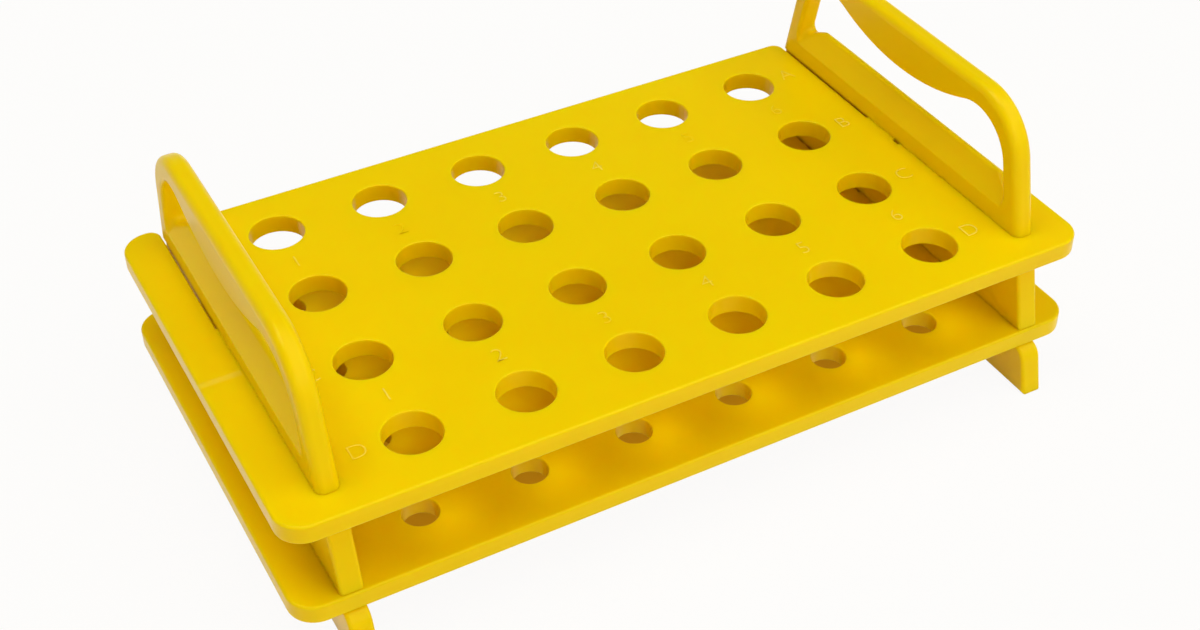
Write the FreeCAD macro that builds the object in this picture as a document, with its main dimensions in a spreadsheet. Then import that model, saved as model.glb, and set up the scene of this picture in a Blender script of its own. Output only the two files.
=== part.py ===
"""Microcentrifuge tube rack: two hole plates carried by two end frames with handles.

Four moulded pieces. Each end frame is one flat wall that widens towards the floor: a foot, a wall
between the plates, and a handle with a rail under it. The plates have a slot near each end that is
open at the back. Each frame slides in from the back: its grooves take the slot's sides, its front
hooks over the slot's closed end, and a small ridge clicks into a nick in the slot's side.
Millimetres, +Z up, floor at zero, origin midway between the two frames.
"""
import FreeCAD, Part
import Sketcher
import math
import os

SIZES = {
    # the two plates
    "plate_length": 167.2,
    "plate_width": 91.2,
    "plate_thickness": 4.0,
    "plate_corner": 5.5,
    "plate_edge_round": 0.5,
    "plate_forward": 1.9,
    # the tube holes in them
    "hole_columns": 6,
    "hole_rows": 4,
    "hole_pitch": 22.0,
    "tube_hole": 11.0,
    "tip_hole": 7.0,
    "hole_edge_round": 0.3,
    # heights of the tiers
    "foot_height": 10.0,
    "tier_gap": 15.5,
    # the end frames' wall
    "wall_thickness": 4.5,
    "frame_spacing": 146.0,
    "lean_slope": 0.24,
    "handle_base_half": 41.9,
    "upper_shoulder": 0.4,
    "lower_shoulder": 0.9,
    "foot_round": 3.5,
    "wall_edge_round": 0.7,
    # their handle and the rail under it
    "handle_rise": 26.2,
    "handle_corner": 14.0,
    "handle_edge_round": 1.6,
    "opening_edge_round": 0.9,
    "post_width": 4.4,
    "grip_low": 16.5,
    "grip_radius": 55.0,
    "opening_corner": 10.0,
    "rail_high": 10.2,
    "rail_low": 4.0,
    "rail_end_high": 5.7,
    "rail_end_run": 9.4,
    "rail_corner": 1.2,
    # how a frame grips the plates
    "groove_depth": 0.5,
    "upper_hook": 1.0,
    "lower_hook": 3.4,
    "fit_gap": 0.1,
    "relief_gap": 0.15,
    "relief_from": 8.5,
    "mouth_round": 2.4,
    "nick_at": 2.4,
    "nick_length": 2.0,
    "nick_depth": 0.6,
    "ridge_radius": 0.35,
}

# formulas that more than one piece uses
LOWER_BASE = "Sizes.foot_height"
LOWER_TOP = "(Sizes.foot_height + Sizes.plate_thickness)"
UPPER_BASE = "(Sizes.foot_height + Sizes.plate_thickness + Sizes.tier_gap)"
UPPER_TOP = "(Sizes.foot_height + 2 * Sizes.plate_thickness + Sizes.tier_gap)"
HALF_WALL = "(Sizes.wall_thickness / 2)"
HALF_NECK = "(Sizes.wall_thickness / 2 - Sizes.groove_depth)"
HALF_RELIEF = "(Sizes.wall_thickness / 2 + Sizes.relief_gap)"


def post_half(height):
    """Half the frame's length at a height, measured on the handle posts' leaning outer line."""
    return f"(Sizes.handle_base_half + Sizes.lean_slope * ({UPPER_TOP} - {height}))"


def wall_half(height):
    """Half the frame's length at a height, measured on the wall between the plates."""
    return f"({post_half(height)} + Sizes.upper_shoulder)"


def foot_half(height):
    """Half the frame's length at a height, measured on the foot."""
    return f"({wall_half(height)} + Sizes.lower_shoulder)"


UPPER_NECK = "(Sizes.handle_base_half - Sizes.upper_hook)"
LOWER_NECK = f"({wall_half(LOWER_TOP)} - Sizes.lower_hook)"

doc = FreeCAD.newDocument("tube_rack")
sheet = doc.addObject("Spreadsheet::Sheet", "Sizes")
for row, (alias, size) in enumerate(SIZES.items(), start=1):
    sheet.set(f"A{row}", alias)
    sheet.set(f"B{row}", str(size))
    sheet.setAlias(f"B{row}", alias)
doc.recompute()


def worked_out(formula):
    """A formula's value with the sheet's present sizes."""
    return float(sheet.evalExpression(formula.replace("Sizes.", "")))


def new_body(name):
    """An empty body whose label names the piece."""
    body = doc.addObject("PartDesign::Body", name)
    body.Label = name
    return body


def new_sketch(body, name, role):
    """A sketch on one of the body's own origin planes."""
    sketch = body.newObject("Sketcher::SketchObject", name)
    plane = [feature for feature in body.Origin.OriginFeatures if feature.Role == role][0]
    sketch.AttachmentSupport = [(plane, "")]
    sketch.MapMode = "FlatFace"
    return sketch


def bind(sketch, label, constraint, formula):
    """Add a dimension and tie it to a formula of the sheet's sizes."""
    index = sketch.addConstraint(constraint)
    sketch.renameConstraint(index, label)
    sketch.setExpression(f"Constraints.{label}", formula)


def pin(sketch, label, curve, end, across, up):
    """Hold a point of a curve at two formulas, across and up from the sketch's origin."""
    for kind, axis, formula in (("DistanceX", -2, across), ("DistanceY", -1, up)):
        value = worked_out(formula)
        if abs(value) < 1e-9:
            sketch.addConstraint(Sketcher.Constraint("PointOnObject", curve, end, axis))
        elif value > 0:
            rule = Sketcher.Constraint(kind, -1, 1, curve, end, value)
            bind(sketch, f"{label}_{kind}", rule, formula)
        else:
            rule = Sketcher.Constraint(kind, curve, end, -1, 1, -value)
            bind(sketch, f"{label}_{kind}", rule, f"-({formula})")


def at(across, up):
    """A sketch point from two formulas."""
    return FreeCAD.Vector(worked_out(across), worked_out(up), 0)


def draw_outline(sketch, label, corners):
    """A closed outline of straight lines through corners, each a pair of formulas."""
    lines = []
    for start, finish in zip(corners, corners[1:] + corners[:1]):
        lines.append(sketch.addGeometry(Part.LineSegment(at(*start), at(*finish)), False))
    for line, following in zip(lines, lines[1:] + lines[:1]):
        sketch.addConstraint(Sketcher.Constraint("Coincident", line, 2, following, 1))
    for number, (line, corner) in enumerate(zip(lines, corners)):
        pin(sketch, f"{label}{number}", line, 1, *corner)


def draw_box(sketch, label, left, right, low, high):
    """A rectangle between four formulas."""
    draw_outline(sketch, label, [(left, low), (right, low), (right, high), (left, high)])


def pad(body, sketch, name, length, symmetric=False):
    """Thicken a sketch into the body."""
    feature = body.newObject("PartDesign::Pad", name)
    feature.Profile = sketch
    feature.SideType = "Symmetric" if symmetric else "One side"
    feature.setExpression("Length", length)
    doc.recompute()
    return feature


def pocket_through(body, sketch, name):
    """Cut a sketch right through the body, and make sure that it took something away."""
    before = body.Shape.Volume
    feature = body.newObject("PartDesign::Pocket", name)
    feature.Profile = sketch
    feature.SideType = "Two sides"
    feature.Type = "ThroughAll"
    feature.Type2 = "ThroughAll"
    doc.recompute()
    if not body.Shape.Volume < before:
        raise RuntimeError(f"{name} cut nothing")
    return feature


def round_edges(body, name, radius, wanted):
    """Fillet the edges of the body's present shape that a test picks."""
    base = body.Tip
    names = [f"Edge{n}" for n, edge in enumerate(base.Shape.Edges, start=1) if wanted(edge)]
    feature = body.newObject("PartDesign::Fillet", name)
    feature.Base = (base, names)
    feature.setExpression("Radius", radius)
    doc.recompute()
    return feature


def middle(edge):
    """The point halfway along an edge."""
    return edge.valueAt((edge.FirstParameter + edge.LastParameter) / 2)


def near(value, target):
    """Whether two lengths agree."""
    return abs(value - target) < 1e-4


# ---------------------------------------------------------------- the plates


def make_plate(name, height, hole, neck):
    """A plate: slotted rounded slab with a grid of holes. Its sketches are centred on the grid."""
    body = new_body(name)
    half_length = "Sizes.plate_length / 2"
    half_width = "Sizes.plate_width / 2"
    slab = new_sketch(body, name + "_outline", "XY_Plane")
    draw_box(slab, "slab", f"-{half_length}", half_length, f"-{half_width}", half_width)
    pad(body, slab, name + "_slab", "Sizes.plate_thickness")

    # the back part of each slot is wider than the frame's wall and open at the back edge
    relief = new_sketch(body, name + "_relief", "XY_Plane")
    back = "(Sizes.plate_width / 2 + Sizes.plate_thickness)"
    relief_start = "(Sizes.relief_from + Sizes.plate_forward)"
    for side in (-1, 1):
        centre = f"{side} * Sizes.frame_spacing / 2"
        left, right = f"{centre} - {HALF_RELIEF}", f"{centre} + {HALF_RELIEF}"
        draw_box(relief, "left" if side < 0 else "right", left, right, relief_start, back)
    pocket_through(body, relief, name + "_relief_cut")

    # corners seen from above, then the rounding along the top and bottom edges
    end_x = worked_out(half_length)
    back_y = worked_out(half_width)
    slot_x = worked_out("Sizes.frame_spacing / 2")
    room = f"(Sizes.plate_length / 2 - Sizes.frame_spacing / 2 - {HALF_RELIEF} - Sizes.mouth_round)"

    def upright_at(x, y):
        return lambda edge: (near(abs(middle(edge).x), x) and near(middle(edge).y, y)
                             and near(edge.tangentAt(edge.FirstParameter).z ** 2, 1))

    def mouth(edge):
        reach = abs(abs(middle(edge).x) - slot_x)
        upright = near(edge.tangentAt(edge.FirstParameter).z ** 2, 1)
        return upright and near(middle(edge).y, back_y) and near(reach, worked_out(HALF_RELIEF))

    round_edges(body, name + "_front_corners", "Sizes.plate_corner", upright_at(end_x, -back_y))
    round_edges(body, name + "_mouths", "Sizes.mouth_round", mouth)
    round_edges(body, name + "_back_corners", f"min(Sizes.plate_corner; {room} * 0.98)",
                upright_at(end_x, back_y))
    round_edges(body, name + "_edges", "Sizes.plate_edge_round",
                lambda edge: near(edge.BoundBox.ZLength, 0))

    # the front part of each slot fits the frame's neck; a nick in its inner side takes the ridge
    slot = new_sketch(body, name + "_slot", "XY_Plane")
    nick = new_sketch(body, name + "_nick", "XY_Plane")
    slot_end = f"(Sizes.plate_forward - {neck} - Sizes.fit_gap)"
    half_slot = f"({HALF_NECK} + Sizes.fit_gap)"
    nick_middle = "(Sizes.plate_forward - Sizes.nick_at)"
    for side in (-1, 1):
        label = "left" if side < 0 else "right"
        centre = f"{side} * Sizes.frame_spacing / 2"
        draw_box(slot, label, f"{centre} - {half_slot}", f"{centre} + {half_slot}",
                 slot_end, f"({relief_start} + Sizes.plate_edge_round)")
        nick_floor = f"({centre} - {side} * ({HALF_WALL} + Sizes.nick_depth))"
        nick_sides = [nick_floor, centre] if side > 0 else [centre, nick_floor]
        draw_box(nick, label, *nick_sides,
                 f"{nick_middle} - Sizes.nick_length / 2", f"{nick_middle} + Sizes.nick_length / 2")
    pocket_through(body, slot, name + "_slot_cut")
    pocket_through(body, nick, name + "_nick_cut")

    # the holes, on a grid
    holes = new_sketch(body, name + "_holes", "XY_Plane")
    for column in range(int(SIZES["hole_columns"])):
        for line in range(int(SIZES["hole_rows"])):
            across = f"({column} - (Sizes.hole_columns - 1) / 2) * Sizes.hole_pitch"
            along = f"({line} - (Sizes.hole_rows - 1) / 2) * Sizes.hole_pitch"
            circle = Part.Circle(at(across, along), FreeCAD.Vector(0, 0, 1), worked_out(hole) / 2)
            number = holes.addGeometry(circle, False)
            label = f"hole{column}{line}"
            pin(holes, label, number, 3, across, along)
            diameter = Sketcher.Constraint("Diameter", number, worked_out(hole))
            bind(holes, label + "_width", diameter, hole)
    pocket_through(body, holes, name + "_holes_cut")
    round_edges(body, name + "_hole_rims", "Sizes.hole_edge_round",
                lambda edge: edge.Curve.TypeId == "Part::GeomCircle" and edge.isClosed()
                and near(edge.Curve.Radius, worked_out(hole) / 2)
                and near(edge.BoundBox.ZLength, 0))

    body.setExpression(".Placement.Base.y", "-Sizes.plate_forward")
    body.setExpression(".Placement.Base.z", height)
    return body


# ---------------------------------------------------------------- the end frames

RAIL_LOW = f"({UPPER_TOP} + Sizes.rail_low)"
RAIL_HIGH = f"({UPPER_TOP} + Sizes.rail_high)"
RAIL_END = f"({UPPER_TOP} + Sizes.rail_end_high)"
BELLY_CENTRE = f"({UPPER_TOP} + Sizes.grip_low + Sizes.grip_radius)"
CROWN = f"({UPPER_TOP} + Sizes.handle_rise)"


def inner_post(height):
    """Half the opening's length at a height, on the inner line of the leaning posts."""
    return f"({post_half(height)} - Sizes.post_width)"


def draw_frame_outline(sketch):
    """The frame seen from its end, without its opening: foot, notch, wall, notch and handle."""
    lower_notch_top = f"({LOWER_TOP} + Sizes.fit_gap)"
    upper_notch_top = f"({UPPER_TOP} + Sizes.fit_gap)"
    half = [
        (foot_half("0"), "0"),
        (foot_half(LOWER_BASE), LOWER_BASE),
        (LOWER_NECK, LOWER_BASE),
        (LOWER_NECK, lower_notch_top),
        (wall_half(lower_notch_top), lower_notch_top),
        (wall_half(UPPER_BASE), UPPER_BASE),
        (UPPER_NECK, UPPER_BASE),
        (UPPER_NECK, upper_notch_top),
        (post_half(upper_notch_top), upper_notch_top),
        (post_half(CROWN), CROWN),
    ]
    draw_outline(sketch, "corner", [(f"-{along}", up) for along, up in half] + half[::-1])


def opening_corner_centre():
    """Where the opening's corner arcs are centred: they touch both the post and the belly."""
    slope = worked_out("Sizes.lean_slope")
    belly = worked_out(BELLY_CENTRE)
    reach = worked_out("Sizes.opening_corner + Sizes.grip_radius")
    offset = worked_out("Sizes.opening_corner") * (1 + slope ** 2) ** 0.5
    low = worked_out(RAIL_LOW)
    high = belly
    for _ in range(60):
        up = (low + high) / 2
        along = worked_out(inner_post(str(up))) - offset
        if along ** 2 + (belly - up) ** 2 > reach ** 2:
            low = up
        else:
            high = up
    return along, up


def draw_opening(sketch):
    """The handle's opening: rail, leaning posts, round upper corners and a belly for the fingers."""
    vector = FreeCAD.Vector
    normal = vector(0, 0, 1)
    slope = worked_out("Sizes.lean_slope")
    rail = worked_out(RAIL_LOW)
    rail_half = worked_out(inner_post(RAIL_LOW))
    corner = worked_out("Sizes.opening_corner")
    along, up = opening_corner_centre()
    belly = vector(0, worked_out(BELLY_CENTRE), 0)

    # going round from the front foot of the rail: rail, back post, back corner, belly, front corner
    outward = vector(1, slope, 0).normalize()
    centres = {side: vector(side * along, up, 0) for side in (-1, 1)}
    post_tops = {side: centres[side] + vector(side * outward.x, outward.y, 0) * corner
                 for side in (-1, 1)}
    belly_ends = {side: centres[side] + (belly - centres[side]).normalize() * corner
                  for side in (-1, 1)}
    crests = {side: centres[side] + vector(side * 0.5, 0.866, 0) * corner for side in (-1, 1)}
    belly_low = belly - vector(0, worked_out("Sizes.grip_radius"), 0)
    front_foot = vector(-rail_half, rail, 0)
    back_foot = vector(rail_half, rail, 0)
    path = [
        Part.LineSegment(front_foot, back_foot),
        Part.LineSegment(back_foot, post_tops[1]),
        Part.Arc(post_tops[1], crests[1], belly_ends[1]),
        Part.Arc(belly_ends[-1], belly_low, belly_ends[1]),
        Part.Arc(belly_ends[-1], crests[-1], post_tops[-1]),
        Part.LineSegment(front_foot, post_tops[-1]),
    ]
    rail_line, back_post, back_arc, belly_arc, front_arc, front_post = [
        sketch.addGeometry(curve, False) for curve in path]

    # every post starts at its foot and every arc runs anticlockwise: 1 is a start and 2 a finish
    for first, first_end, second, second_end in ((back_post, 2, back_arc, 1),
                                                 (back_arc, 2, belly_arc, 2),
                                                 (belly_arc, 1, front_arc, 1),
                                                 (front_arc, 2, front_post, 2)):
        rule = Sketcher.Constraint("Tangent", first, first_end, second, second_end)
        sketch.addConstraint(rule)
    sketch.addConstraint(Sketcher.Constraint("Coincident", rail_line, 1, front_post, 1))
    sketch.addConstraint(Sketcher.Constraint("Coincident", rail_line, 2, back_post, 1))
    pin(sketch, "front_foot", rail_line, 1, f"-{inner_post(RAIL_LOW)}", RAIL_LOW)
    pin(sketch, "back_foot", rail_line, 2, inner_post(RAIL_LOW), RAIL_LOW)
    pin(sketch, "belly", belly_arc, 3, "0", BELLY_CENTRE)
    rule = Sketcher.Constraint("Radius", belly_arc, worked_out("Sizes.grip_radius"))
    bind(sketch, "belly_radius", rule, "Sizes.grip_radius")
    rule = Sketcher.Constraint("Radius", back_arc, corner)
    bind(sketch, "corner_radius", rule, "Sizes.opening_corner")
    sketch.addConstraint(Sketcher.Constraint("Equal", back_arc, front_arc))
    lean = worked_out("atan(Sizes.lean_slope) / 1deg")
    for label, post, sign in (("back", back_post, "+"), ("front", front_post, "-")):
        tilt = math.radians(90 + lean if sign == "+" else 90 - lean)
        rule = Sketcher.Constraint("Angle", post, tilt)
        bind(sketch, label + "_lean", rule, f"90deg {sign} atan(Sizes.lean_slope)")


def make_frame(name, side):
    """An end frame, drawn in the middle of its own wall and then moved out to its slot."""
    body = new_body(name)
    outline = new_sketch(body, name + "_outline", "YZ_Plane")
    draw_frame_outline(outline)
    pad(body, outline, name + "_wall", "Sizes.wall_thickness", symmetric=True)
    wall_face = worked_out(HALF_WALL)
    foot_top = worked_out(LOWER_BASE)
    crown = worked_out(CROWN)

    def crosswise_at(along, up):
        return lambda edge: (near(abs(middle(edge).y), along) and near(middle(edge).z, up)
                             and near(edge.tangentAt(edge.FirstParameter).x ** 2, 1))

    def rim_between(low, high):
        """Edges of the two wall faces whose middle lies between two heights."""
        def wanted(edge):
            flat = near(edge.BoundBox.XLength, 0)
            on_a_face = flat and near(abs(middle(edge).x), wall_face)
            return on_a_face and low - 0.01 < middle(edge).z < high + 0.01
        return wanted

    round_edges(body, name + "_handle_corners", "Sizes.handle_corner",
                crosswise_at(worked_out(post_half(CROWN)), crown))
    round_edges(body, name + "_foot_corners", "Sizes.foot_round",
                crosswise_at(worked_out(foot_half(LOWER_BASE)), foot_top))

    # the handle's outside is well rounded for the hand, the wall and the foot less so
    above_plates = worked_out(f"{UPPER_TOP} + 2 * Sizes.fit_gap")
    between_plates = [worked_out(f"{LOWER_TOP} + 2 * Sizes.fit_gap"),
                      worked_out(f"{UPPER_BASE} - 2 * Sizes.fit_gap")]
    round_edges(body, name + "_handle_edges", "Sizes.handle_edge_round",
                rim_between(above_plates, crown))
    round_edges(body, name + "_wall_edges", "Sizes.wall_edge_round", rim_between(*between_plates))
    round_edges(body, name + "_foot_edges", "Sizes.wall_edge_round", rim_between(0, foot_top))

    opening = new_sketch(body, name + "_opening", "YZ_Plane")
    draw_opening(opening)
    pocket_through(body, opening, name + "_opening_cut")

    # the rail's top slopes up to a high right edge, and is blended into the posts at both ends
    wedge = new_sketch(body, name + "_rail_slope", "XZ_Plane")
    draw_outline(wedge, "wedge", [
        (f"-{HALF_WALL}", RAIL_LOW),
        (HALF_WALL, RAIL_LOW),
        (HALF_WALL, RAIL_HIGH),
    ])
    pad(body, wedge, name + "_rail", f"2 * {inner_post(RAIL_LOW)}", symmetric=True)

    # its two ends run down to meet the posts level across the wall
    rail_ends = new_sketch(body, name + "_rail_end_outline", "YZ_Plane")
    for sign, label in (("-", "front"), ("", "back")):
        draw_outline(rail_ends, label, [
            (f"{sign}({inner_post(RAIL_END)} - Sizes.rail_end_run)", RAIL_HIGH),
            (f"{sign}{inner_post(RAIL_END)}", RAIL_END),
            (f"{sign}{inner_post(RAIL_HIGH)}", RAIL_HIGH),
        ])
    pocket_through(body, rail_ends, name + "_rail_end_cut")
    rail_low = worked_out(RAIL_LOW)
    rail_high = worked_out(RAIL_HIGH)
    rail_end_high = worked_out(RAIL_END)

    crosswise = 0.1

    def on_the_rail(edge):
        box = edge.BoundBox
        in_height = rail_low - 1e-4 < box.ZMin and box.ZMax < rail_high + 1e-4
        at_a_post = box.ZMax < rail_end_high + 1e-4
        return in_height and box.XLength > crosswise and (at_a_post or near(box.ZMax, rail_high))

    round_edges(body, name + "_rail_edges", "Sizes.rail_corner", on_the_rail)
    round_edges(body, name + "_opening_edges", "Sizes.opening_edge_round",
                rim_between(rail_low, crown))

    # grooves on both faces take the sides of the plates' slots
    grooves = new_sketch(body, name + "_grooves", "XZ_Plane")
    beyond = "Sizes.wall_thickness"
    for tier, low, top in (("lower", LOWER_BASE, LOWER_TOP), ("upper", UPPER_BASE, UPPER_TOP)):
        high = f"({top} + Sizes.fit_gap)"
        draw_box(grooves, tier + "_left", f"-{beyond}", f"-{HALF_NECK}", low, high)
        draw_box(grooves, tier + "_right", HALF_NECK, beyond, low, high)
    pocket_through(body, grooves, name + "_grooves_cut")

    # a small upright ridge in each inner groove clicks into the plate's nick
    for tier, low in (("lower", LOWER_BASE), ("upper", UPPER_BASE)):
        ridge = new_sketch(body, f"{name}_{tier}_ridge_outline", "XY_Plane")
        ridge.setExpression(".AttachmentOffset.Base.z", low)
        inner_side = f"({-side} * {HALF_NECK})"
        centre = at(inner_side, "-Sizes.nick_at")
        circle = Part.Circle(centre, FreeCAD.Vector(0, 0, 1), worked_out("Sizes.ridge_radius"))
        ridge.addGeometry(circle, False)
        pin(ridge, "ridge", 0, 3, inner_side, "-Sizes.nick_at")
        radius = Sketcher.Constraint("Radius", 0, worked_out("Sizes.ridge_radius"))
        bind(ridge, "ridge_size", radius, "Sizes.ridge_radius")
        pad(body, ridge, f"{name}_{tier}_ridge", "Sizes.plate_thickness + Sizes.fit_gap")

    body.setExpression(".Placement.Base.x", f"{side} * Sizes.frame_spacing / 2")
    return body


pieces = [
    make_plate("upper_plate", UPPER_BASE, "Sizes.tube_hole", UPPER_NECK),
    make_plate("lower_plate", LOWER_BASE, "Sizes.tip_hole", LOWER_NECK),
    make_frame("left_end_frame", -1),
    make_frame("right_end_frame", 1),
]
doc.recompute()

for thing in doc.Objects:
    if "Invalid" in thing.State or "Error" in thing.State:
        raise RuntimeError(f"{thing.Name} did not build: {thing.State}")
for piece in pieces:
    if piece.Shape.isNull() or not piece.Shape.isValid() or len(piece.Shape.Solids) != 1:
        raise RuntimeError(f"{piece.Label} is not one sound solid")

os.makedirs("parts", exist_ok=True)
for piece in pieces:
    piece.Shape.exportStep(f"parts/{piece.Label}.step")
    print(piece.Label, f"{piece.Shape.Volume / 1000:.1f} cubic centimetres")
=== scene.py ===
# %% [markdown]
# # A rack for small laboratory tubes
#
# This lesson dresses a rack that was built in a CAD program. The rack is four mouldings in one
# yellow plastic: two plates with holes and two end frames with handles. The shapes arrive finished
# and to size. What is left is what makes them look real: the plastic, the small raised index
# marks, the light, and the camera.
#
# Everything is in metres. The origin is on the table, midway between the two end frames.

import bpy
from mathutils import Matrix, Vector


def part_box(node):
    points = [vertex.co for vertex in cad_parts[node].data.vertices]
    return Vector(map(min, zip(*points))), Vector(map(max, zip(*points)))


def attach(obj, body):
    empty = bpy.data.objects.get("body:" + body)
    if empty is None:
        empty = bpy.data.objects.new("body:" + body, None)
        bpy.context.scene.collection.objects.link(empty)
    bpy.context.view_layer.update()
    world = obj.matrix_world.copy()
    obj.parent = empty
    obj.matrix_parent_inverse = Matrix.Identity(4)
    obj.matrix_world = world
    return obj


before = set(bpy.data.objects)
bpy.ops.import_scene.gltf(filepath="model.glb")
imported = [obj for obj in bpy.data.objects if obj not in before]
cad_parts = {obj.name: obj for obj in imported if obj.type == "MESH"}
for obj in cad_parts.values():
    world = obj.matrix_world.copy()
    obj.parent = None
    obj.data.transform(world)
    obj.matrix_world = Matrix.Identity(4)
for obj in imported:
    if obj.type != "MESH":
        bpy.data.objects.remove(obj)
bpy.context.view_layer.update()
plate_low, plate_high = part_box("upper_plate")
print("pieces:", ", ".join(sorted(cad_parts)))
print("upper plate from", [round(v, 4) for v in plate_low], "to", [round(v, 4) for v in plate_high])

# %% [markdown]
# ## Camera
#
# The rack is seen from the front left and from well above, with a slightly long lens. A camera in
# Blender looks along its own -Z, with its own +X to the right, so its matrix can be filled in
# straight from two directions: where it looks, and which way is right. Angles would do as well, but
# a small roll, such as the half degree here, is easier to keep as directions.

# %% Place the camera
camera_place = Vector((-0.13312, -0.24998, 0.24488))
looking = Vector((0.36484, 0.68183, -0.63404)).normalized()
rightwards = Vector((0.87855, -0.47757, -0.00803)).normalized()
upwards = rightwards.cross(looking)

camera = bpy.data.objects.new("camera", bpy.data.cameras.new("camera"))
bpy.context.scene.collection.objects.link(camera)
turn = Matrix((rightwards, upwards, -looking)).transposed().to_4x4()
camera.matrix_world = Matrix.Translation(camera_place) @ turn
camera.data.sensor_width = 36.0
camera.data.lens = 53.74
camera.data.clip_start = 0.01
bpy.context.scene.camera = camera
print("camera", round(camera_place.length, 3), "m from the origin, lens", camera.data.lens, "mm")

# %% [markdown]
# ## The plastic
#
# Racks like this are injection moulded in polypropylene, dyed right through. Four things make it
# look like itself and not like yellow paint:
#
# - The colour is strong and nearly the same all over. The slow, faint clouds in it are a guess, and
#   only keep it from looking flat.
# - The surface is fairly shiny. Seen square on it reflects little, and at a flat angle it turns
#   pale with whatever stands opposite: the sides of the handles mirror the white table.
# - The plastic lets light in for a few millimetres. Red travels furthest, so shaded walls and the
#   insides of the holes glow orange instead of turning grey. That is the subsurface part.
# - A mould is never quite smooth, so a fine grain breaks up each reflection a little.
#
# Two settings of the shine are not physical. The shine of a dyed plastic keeps the colour of the
# light, and here it is tinted yellow. It is also turned down to about a third of what this index
# of refraction gives. A plain, full shine adds blue, and so strong a yellow has no room for it on
# a screen. These, and the depth and colours of the glow, were chosen and not measured.
#
# All patterns read Object coordinates. Every object of the rack sits at the origin, so a pattern
# keeps its scale, in metres, and runs on from one piece to the next.

# %% Helpers for node trees
# A value on its way through a tree is a pair: a node and the name or number of one of its outputs.
def wire(tree, value, target, socket):
    """Feed a value into an input of a node."""
    node, output = value
    tree.links.new(node.outputs[output], target.inputs[socket])


def set_numbers(node, **numbers):
    """Set inputs of a node by their names, with an underscore for each space."""
    for name, number in numbers.items():
        node.inputs[name.replace("_", " ")].default_value = number


def position_axes(tree, kind):
    """X, Y and Z of one kind of texture coordinates, as outputs of one node."""
    place = tree.nodes.new("ShaderNodeTexCoord")
    axes = tree.nodes.new("ShaderNodeSeparateXYZ")
    wire(tree, (place, kind), axes, "Vector")
    return axes


def number_step(tree, operation, *inputs):
    """One sum. Each input is a plain number or a value."""
    node = tree.nodes.new("ShaderNodeMath")
    node.operation = operation
    for socket, number in enumerate(inputs):
        if isinstance(number, tuple):
            wire(tree, number, node, socket)
        else:
            node.inputs[socket].default_value = number
    return node, "Value"


def stretch(tree, value, from_range, to_range):
    """Turn one range of a value into another, clamped at its ends."""
    node = tree.nodes.new("ShaderNodeMapRange")
    set_numbers(node, From_Min=from_range[0], From_Max=from_range[1],
                To_Min=to_range[0], To_Max=to_range[1])
    wire(tree, value, node, "Value")
    return node, "Result"


def two_colours(tree, value, low, low_colour, high, high_colour):
    """Fade from one colour at a low value to another at a high one."""
    node = tree.nodes.new("ShaderNodeValToRGB")
    stops = zip(node.color_ramp.elements, ((low, low_colour), (high, high_colour)))
    for element, (position, colour) in stops:
        element.position = position
        element.color = (*colour, 1)
    wire(tree, value, node, "Fac")
    return node, "Color"


def noise(tree, scale, detail, roughness=0.5):
    """Noise in Object coordinates. A scale of 1000 gives spots of about a millimetre."""
    place = tree.nodes.new("ShaderNodeTexCoord")
    node = tree.nodes.new("ShaderNodeTexNoise")
    set_numbers(node, Scale=scale, Detail=detail, Roughness=roughness)
    wire(tree, (place, "Object"), node, "Vector")
    return node, "Fac"


# %% Make the yellow plastic
GLOW_DEPTH = 0.004           # metres that red light travels inside the plastic
GLOW_COLOURS = (1.0, 0.6, 0.08)
SHINE_TINT = (1.0, 0.86, 0.45, 1)


def moulded_plastic(name, pale, deep, shine, grain_depth, glow):
    """Dyed polypropylene: cloudy dye, a fine grain, an uneven shine and an inner glow."""
    material = bpy.data.materials.new(name)
    material.use_nodes = True
    tree = material.node_tree
    shader = tree.nodes["Principled BSDF"]

    clouds = noise(tree, scale=28, detail=3, roughness=0.6)
    wire(tree, two_colours(tree, clouds, 0.35, deep, 0.68, pale), shader, "Base Color")

    smears = noise(tree, scale=110, detail=4)
    polish = stretch(tree, smears, (0, 1), (shine - 0.03, shine + 0.07))
    wire(tree, polish, shader, "Roughness")

    relief = tree.nodes.new("ShaderNodeBump")
    set_numbers(relief, Strength=0.35, Distance=grain_depth)
    wire(tree, noise(tree, scale=1500, detail=2), relief, "Height")
    wire(tree, (relief, "Normal"), shader, "Normal")

    set_numbers(shader, IOR=1.49, Specular_IOR_Level=0.18, Specular_Tint=SHINE_TINT)
    set_numbers(shader, Subsurface_Weight=glow, Subsurface_Radius=GLOW_COLOURS,
                Subsurface_Scale=GLOW_DEPTH)
    return material


PALE_YELLOW = (0.99, 0.69, 0.0)
DEEP_YELLOW = (0.98, 0.66, 0.0)
# The next yellow is a painted highlight: the index marks and the crease on the tongue are made
# paler with it, standing in for the light they catch.
PALE_HIGHLIGHT_YELLOW = (0.98, 0.79, 0.11)
plate_plastic = moulded_plastic("plate_plastic", PALE_YELLOW, DEEP_YELLOW,
                                shine=0.28, grain_depth=0.00002, glow=0.5)
frame_plastic = moulded_plastic("frame_plastic", PALE_YELLOW, DEEP_YELLOW,
                                shine=0.30, grain_depth=0.00001, glow=0.4)
# The plastic of the index marks, whose paler colour is a painted highlight.
mark_highlight_plastic = moulded_plastic("mark_highlight_plastic", PALE_HIGHLIGHT_YELLOW, PALE_YELLOW,
                               shine=0.4, grain_depth=0.00001, glow=0.0)

for name, finish in (("upper_plate", plate_plastic), ("lower_plate", plate_plastic),
                     ("left_end_frame", frame_plastic), ("right_end_frame", frame_plastic)):
    for material_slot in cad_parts[name].material_slots:
        material_slot.material = finish
    print(name, "is in", finish.name)
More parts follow.
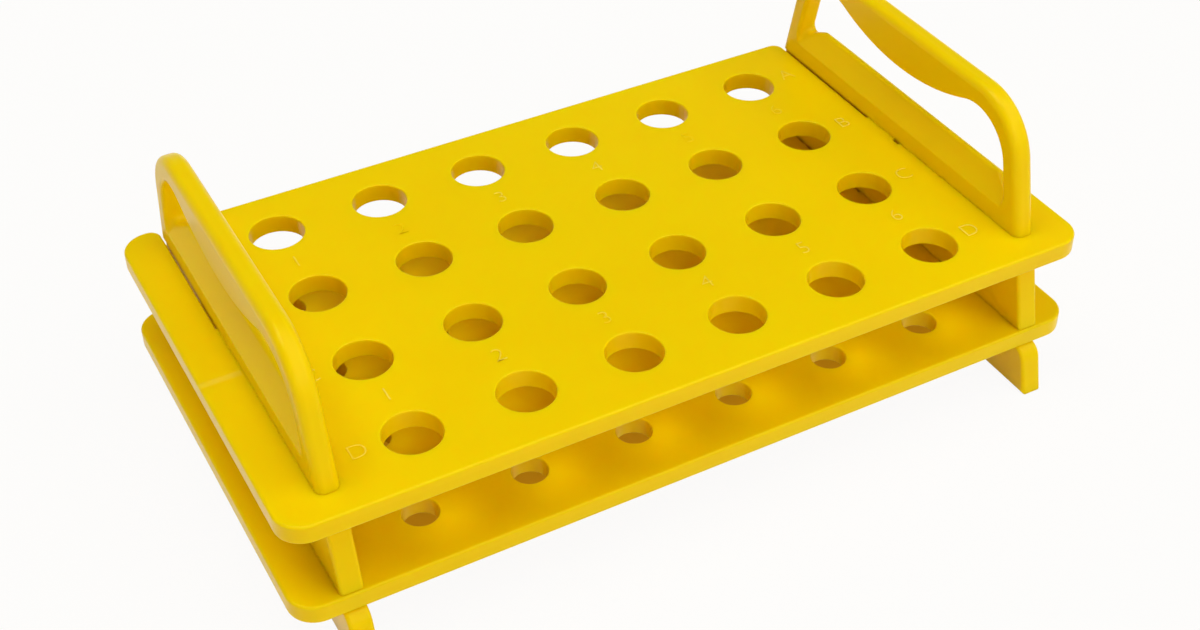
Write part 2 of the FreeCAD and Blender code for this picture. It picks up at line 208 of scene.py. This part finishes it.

# %% [markdown]
# ### A painted highlight along a crease
#
# The upper plate runs on past the left end frame as a narrow tongue, and a faint pale streak
# crosses it near the middle, as if it had once been bent there. The streak is a painted highlight:
# paler colour mixed into the dye that stands in for the light caught along the crease. It is a soft
# band that follows one line of Object coordinates, cut off at the frame and below the plate's top.
# Coarse noise breaks it up, so that it doesn't look drawn.

# %% Paint the crease's highlight into the plates' dye
CREASE_Y = -0.00565          # metres, where the streak crosses the tongue
CREASE_END_X = -0.0755       # the outer side of the left end frame
CREASE_CORE, CREASE_EDGE = 0.0002, 0.0011    # half widths of its full and of its faded part
CREASE_HIGHLIGHT_STRENGTH = 0.6
PLATE_SKIN = 0.001           # only this much of the plate, from its top down, carries the painted highlight

# The pale streak is a painted highlight: a paler yellow mixed into the dye along the crease.
tree = plate_plastic.node_tree
shader = tree.nodes["Principled BSDF"]
dye = shader.inputs["Base Color"].links[0].from_node
axes = position_axes(tree, "Object")
distance = number_step(tree, "ABSOLUTE", number_step(tree, "SUBTRACT", (axes, "Y"), CREASE_Y))
band = stretch(tree, distance, (CREASE_CORE, CREASE_EDGE), (CREASE_HIGHLIGHT_STRENGTH, 0))
band[0].interpolation_type = "SMOOTHSTEP"
on_tongue = number_step(tree, "LESS_THAN", (axes, "X"), CREASE_END_X)
on_top = number_step(tree, "GREATER_THAN", (axes, "Z"), plate_high[2] - PLATE_SKIN)
highlight_area = number_step(tree, "MULTIPLY", on_tongue, on_top)
painted_highlight_band = number_step(tree, "MULTIPLY", highlight_area, band)
painted_highlight_amount = number_step(tree, "MULTIPLY", painted_highlight_band, noise(tree, scale=420, detail=2))

# A Mix node repeats its names for each kind of data, so its two colours and its result are
# picked by number.
FIRST_COLOUR, SECOND_COLOUR, MIXED_COLOUR = 6, 7, 2
dye_or_painted_highlight = tree.nodes.new("ShaderNodeMix")
dye_or_painted_highlight.data_type = "RGBA"
wire(tree, painted_highlight_amount, dye_or_painted_highlight, "Factor")
wire(tree, (dye, "Color"), dye_or_painted_highlight, FIRST_COLOUR)
dye_or_painted_highlight.inputs[SECOND_COLOUR].default_value = (*PALE_HIGHLIGHT_YELLOW, 1)
wire(tree, (dye_or_painted_highlight, MIXED_COLOUR), shader, "Base Color")
print("crease at", CREASE_Y, "m, on the part of the top beyond", CREASE_END_X, "m")

# %% [markdown]
# ## Index marks
#
# Small raised figures number the six columns of holes, once behind the front row and once behind
# the third from the front, and a letter stands at both ends of each row. Such marks are cut into
# the mould, so they are part of the plate's skin. That they stand up and don't sink in, by a
# tenth of a millimetre, and what they say, is a guess. Their colour is a painted highlight: a
# little paler than the plate, it stands in for the light their edges catch, so that they show.
# They are made without the plate's inner glow, which turned anything so thin dark. They could be
# painted on with a texture, but only real edges catch the light as the hole rims do. Blender's
# text tool draws the characters, and its own extrude and bevel give them a height and soft
# shoulders. Each is then made a mesh before its place is applied, because text can't hold one.

# %% Measure the grid of holes
HOLE_PITCH = 0.022
plate_top = plate_high[2]
grid_middle = (plate_low[1] + plate_high[1]) / 2
column_places = [(column - 2.5) * HOLE_PITCH for column in range(6)]
row_places = [grid_middle + (1.5 - row) * HOLE_PITCH for row in range(4)]
print("columns at", [round(x, 4) for x in column_places])
print("rows at", [round(y, 4) for y in row_places])


# %% Raise one mark
def raised_mark(sign, x, y):
    """One character of the mould's own lettering, centred on a point of the plate's top."""
    bpy.ops.object.select_all(action="DESELECT")
    bpy.ops.object.text_add(location=(x, y, plate_top))
    mark = bpy.context.object
    mark.data.body = sign
    mark.data.align_x = "CENTER"
    mark.data.align_y = "CENTER"
    mark.data.size = 0.0052
    mark.data.extrude = 0.00003
    mark.data.bevel_depth = 0.00007
    mark.data.bevel_resolution = 1
    mark.data.offset = -0.00016
    mark.data.resolution_u = 4
    bpy.ops.object.convert(target="MESH")
    bpy.ops.object.transform_apply(location=True, rotation=True, scale=True)
    return mark


number_lines = ((row_places[0] + row_places[1]) / 2, (row_places[2] + row_places[3]) / 2)
letter_lines = (column_places[0] - 0.0102, column_places[-1] + 0.0098)
marks = []
for y in number_lines:
    marks += [raised_mark(str(number), x, y) for number, x in enumerate(column_places, start=1)]
for letter, y in zip("ABCD", row_places):
    marks += [raised_mark(letter, x, y) for x in letter_lines]
print(len(marks), "marks raised")

# %% Join the marks into one moulded skin
bpy.ops.object.select_all(action="DESELECT")
for mark in marks:
    mark.select_set(True)
bpy.context.view_layer.objects.active = marks[0]
bpy.ops.object.join()
index_marks = bpy.context.object
index_marks.name = "index_marks"
bpy.ops.object.mode_set(mode="EDIT")
bpy.ops.mesh.select_all(action="SELECT")
bpy.ops.mesh.remove_doubles(threshold=0.000001)
bpy.ops.mesh.normals_make_consistent(inside=False)
bpy.ops.object.mode_set(mode="OBJECT")
index_marks.data.materials.clear()
index_marks.data.materials.append(mark_highlight_plastic)
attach(index_marks, "root")
print("index marks have", len(index_marks.data.polygons), "faces")

# %% [markdown]
# ## Table and light
#
# The rack stands on a wide sheet of paper. Out in the open the sheet shows white to the camera,
# and a little of its own shading is kept so that the rack's shadow stays. The paper itself is a
# warm cream, so that the light it throws back on the sides of the rack doesn't turn them grey.
#
# Under the rack the sheet is painted orange, and just under half of what shows there is an orange
# glow that it gives out itself. On a real table that colour is light that has come through and
# off the yellow plastic. A plain sheet came out too grey there, so most of the orange that shows
# through the lower holes is painted in, and from low down it shows as a patch.
#
# Three big soft boxes light the rack. The first hangs nearly overhead, a little to the left and to
# the rear: its light falls through the upper holes and leaves soft pools on the lower plate, each
# just in front of and to the right of a hole. The second is high on the right, and brightens the
# bends of the handles and the left part of each hole's wall. The third stands in front and reaches
# in between the plates. The left side has no lamp of its own: it gets the first one at a flat
# angle, the left end of the third, the pale horizon, and what the sheet throws back. The room is
# dark above, because the plates' tops mirror that part and would lose their deep colour in a
# white one. Places, sizes and powers were all tuned.

# %% Lay the white sheet
bpy.ops.object.select_all(action="DESELECT")
bpy.ops.mesh.primitive_plane_add(size=8, location=(0, 0, 0))
sheet = bpy.context.object
sheet.name = "white_sheet"
paper = bpy.data.materials.new("white_paper_with_painted_shade")
paper.use_nodes = True
tree = paper.node_tree
matt = tree.nodes["Principled BSDF"]
set_numbers(matt, Roughness=0.9, Specular_IOR_Level=0.1)
glow = tree.nodes.new("ShaderNodeEmission")

# %% Measure how far a point of the sheet is outside the rack's own footprint
SHADE_HALF_LENGTH = 0.070
SHADE_FRONT, SHADE_BACK = -0.028, 0.046
SHADE_EDGE = 0.007
axes = position_axes(tree, "Object")
sideways = number_step(tree, "ABSOLUTE", (axes, "X"))
past_end = number_step(tree, "SUBTRACT", sideways, SHADE_HALF_LENGTH)
from_middle = number_step(tree, "SUBTRACT", (axes, "Y"), (SHADE_FRONT + SHADE_BACK) / 2)
lengthways = number_step(tree, "ABSOLUTE", from_middle)
past_side = number_step(tree, "SUBTRACT", lengthways, (SHADE_BACK - SHADE_FRONT) / 2)
outside = number_step(tree, "MAXIMUM", past_end, past_side)
in_the_open = stretch(tree, outside, (0, SHADE_EDGE), (0, 1))
print("the sheet stays in shade for", round(SHADE_HALF_LENGTH * 2, 3), "m along the rack")

# %% Paint orange shade and glow on the sheet under the rack, and let the open sheet show white
# Painted shade and painted glow: under the rack the sheet is coloured orange and gives out an
# orange glow, standing in for light that came through the yellow plastic.
PAINTED_ORANGE_SHADE, CREAM_PAPER = (0.97, 0.66, 0.1), (0.88, 0.78, 0.57)
PAINTED_ORANGE_GLOW, WHITE_GLOW = (0.6, 0.27, 0.006), (1, 1, 1)
wire(tree, two_colours(tree, in_the_open, 0, PAINTED_ORANGE_SHADE, 1, CREAM_PAPER), matt, "Base Color")
wire(tree, two_colours(tree, in_the_open, 0, PAINTED_ORANGE_GLOW, 1, WHITE_GLOW), glow, "Color")

rays = tree.nodes.new("ShaderNodeLightPath")
seen = number_step(tree, "MAXIMUM", (rays, "Is Camera Ray"), (rays, "Is Glossy Ray"))
seen = number_step(tree, "MAXIMUM", seen, (rays, "Is Transmission Ray"))
glow_share = stretch(tree, in_the_open, (0, 1), (0.45, 0.93))
blend = tree.nodes.new("ShaderNodeMixShader")
wire(tree, number_step(tree, "MULTIPLY", seen, glow_share), blend, "Fac")
wire(tree, (matt, "BSDF"), blend, 1)
wire(tree, (glow, "Emission"), blend, 2)
wire(tree, (blend, "Shader"), tree.nodes["Material Output"], "Surface")
sheet.data.materials.append(paper)
print("sheet laid")

# %% Fill the room with light
PALE_HORIZON, DARK_CEILING = (0.6, 0.55, 0.45), (0.03, 0.03, 0.03)
world = bpy.data.worlds.new("studio")
bpy.context.scene.world = world
world.use_nodes = True
tree = world.node_tree
room = tree.nodes["Background"]
room.inputs["Strength"].default_value = 1.0
axes = position_axes(tree, "Generated")
wire(tree, two_colours(tree, (axes, "Z"), 0.2, PALE_HORIZON, 0.45, DARK_CEILING), room, "Color")


# %% Hang the lamps
def soft_lamp(name, place, target, width, depth, power):
    """A soft box of a width and a depth that faces a point."""
    lamp = bpy.data.objects.new(name, bpy.data.lights.new(name, "AREA"))
    bpy.context.scene.collection.objects.link(lamp)
    lamp.data.shape = "RECTANGLE"
    lamp.data.size = width
    lamp.data.size_y = depth
    lamp.data.energy = power
    lamp.location = place
    lamp.rotation_euler = (Vector(target) - Vector(place)).to_track_quat("-Z", "Y").to_euler()
    print(name, "at", place, "with", power, "W")


middle = (0, 0, 0.03)
soft_lamp("key_lamp", (-0.52, 0.34, 2.3), middle, 1.2, 1.2, 22.5)
soft_lamp("right_lamp", (0.95, -0.75, 2.1), middle, 2.0, 2.0, 23.5)
soft_lamp("front_lamp", (0.0, -2.2, 1.6), middle, 3.4, 1.1, 23.5)

# %% [markdown]
# ## Finish
#
# The picture is shown without any film look, so that a colour comes out as it is written.

# %% Finish
bpy.context.scene.view_settings.view_transform = "Standard"
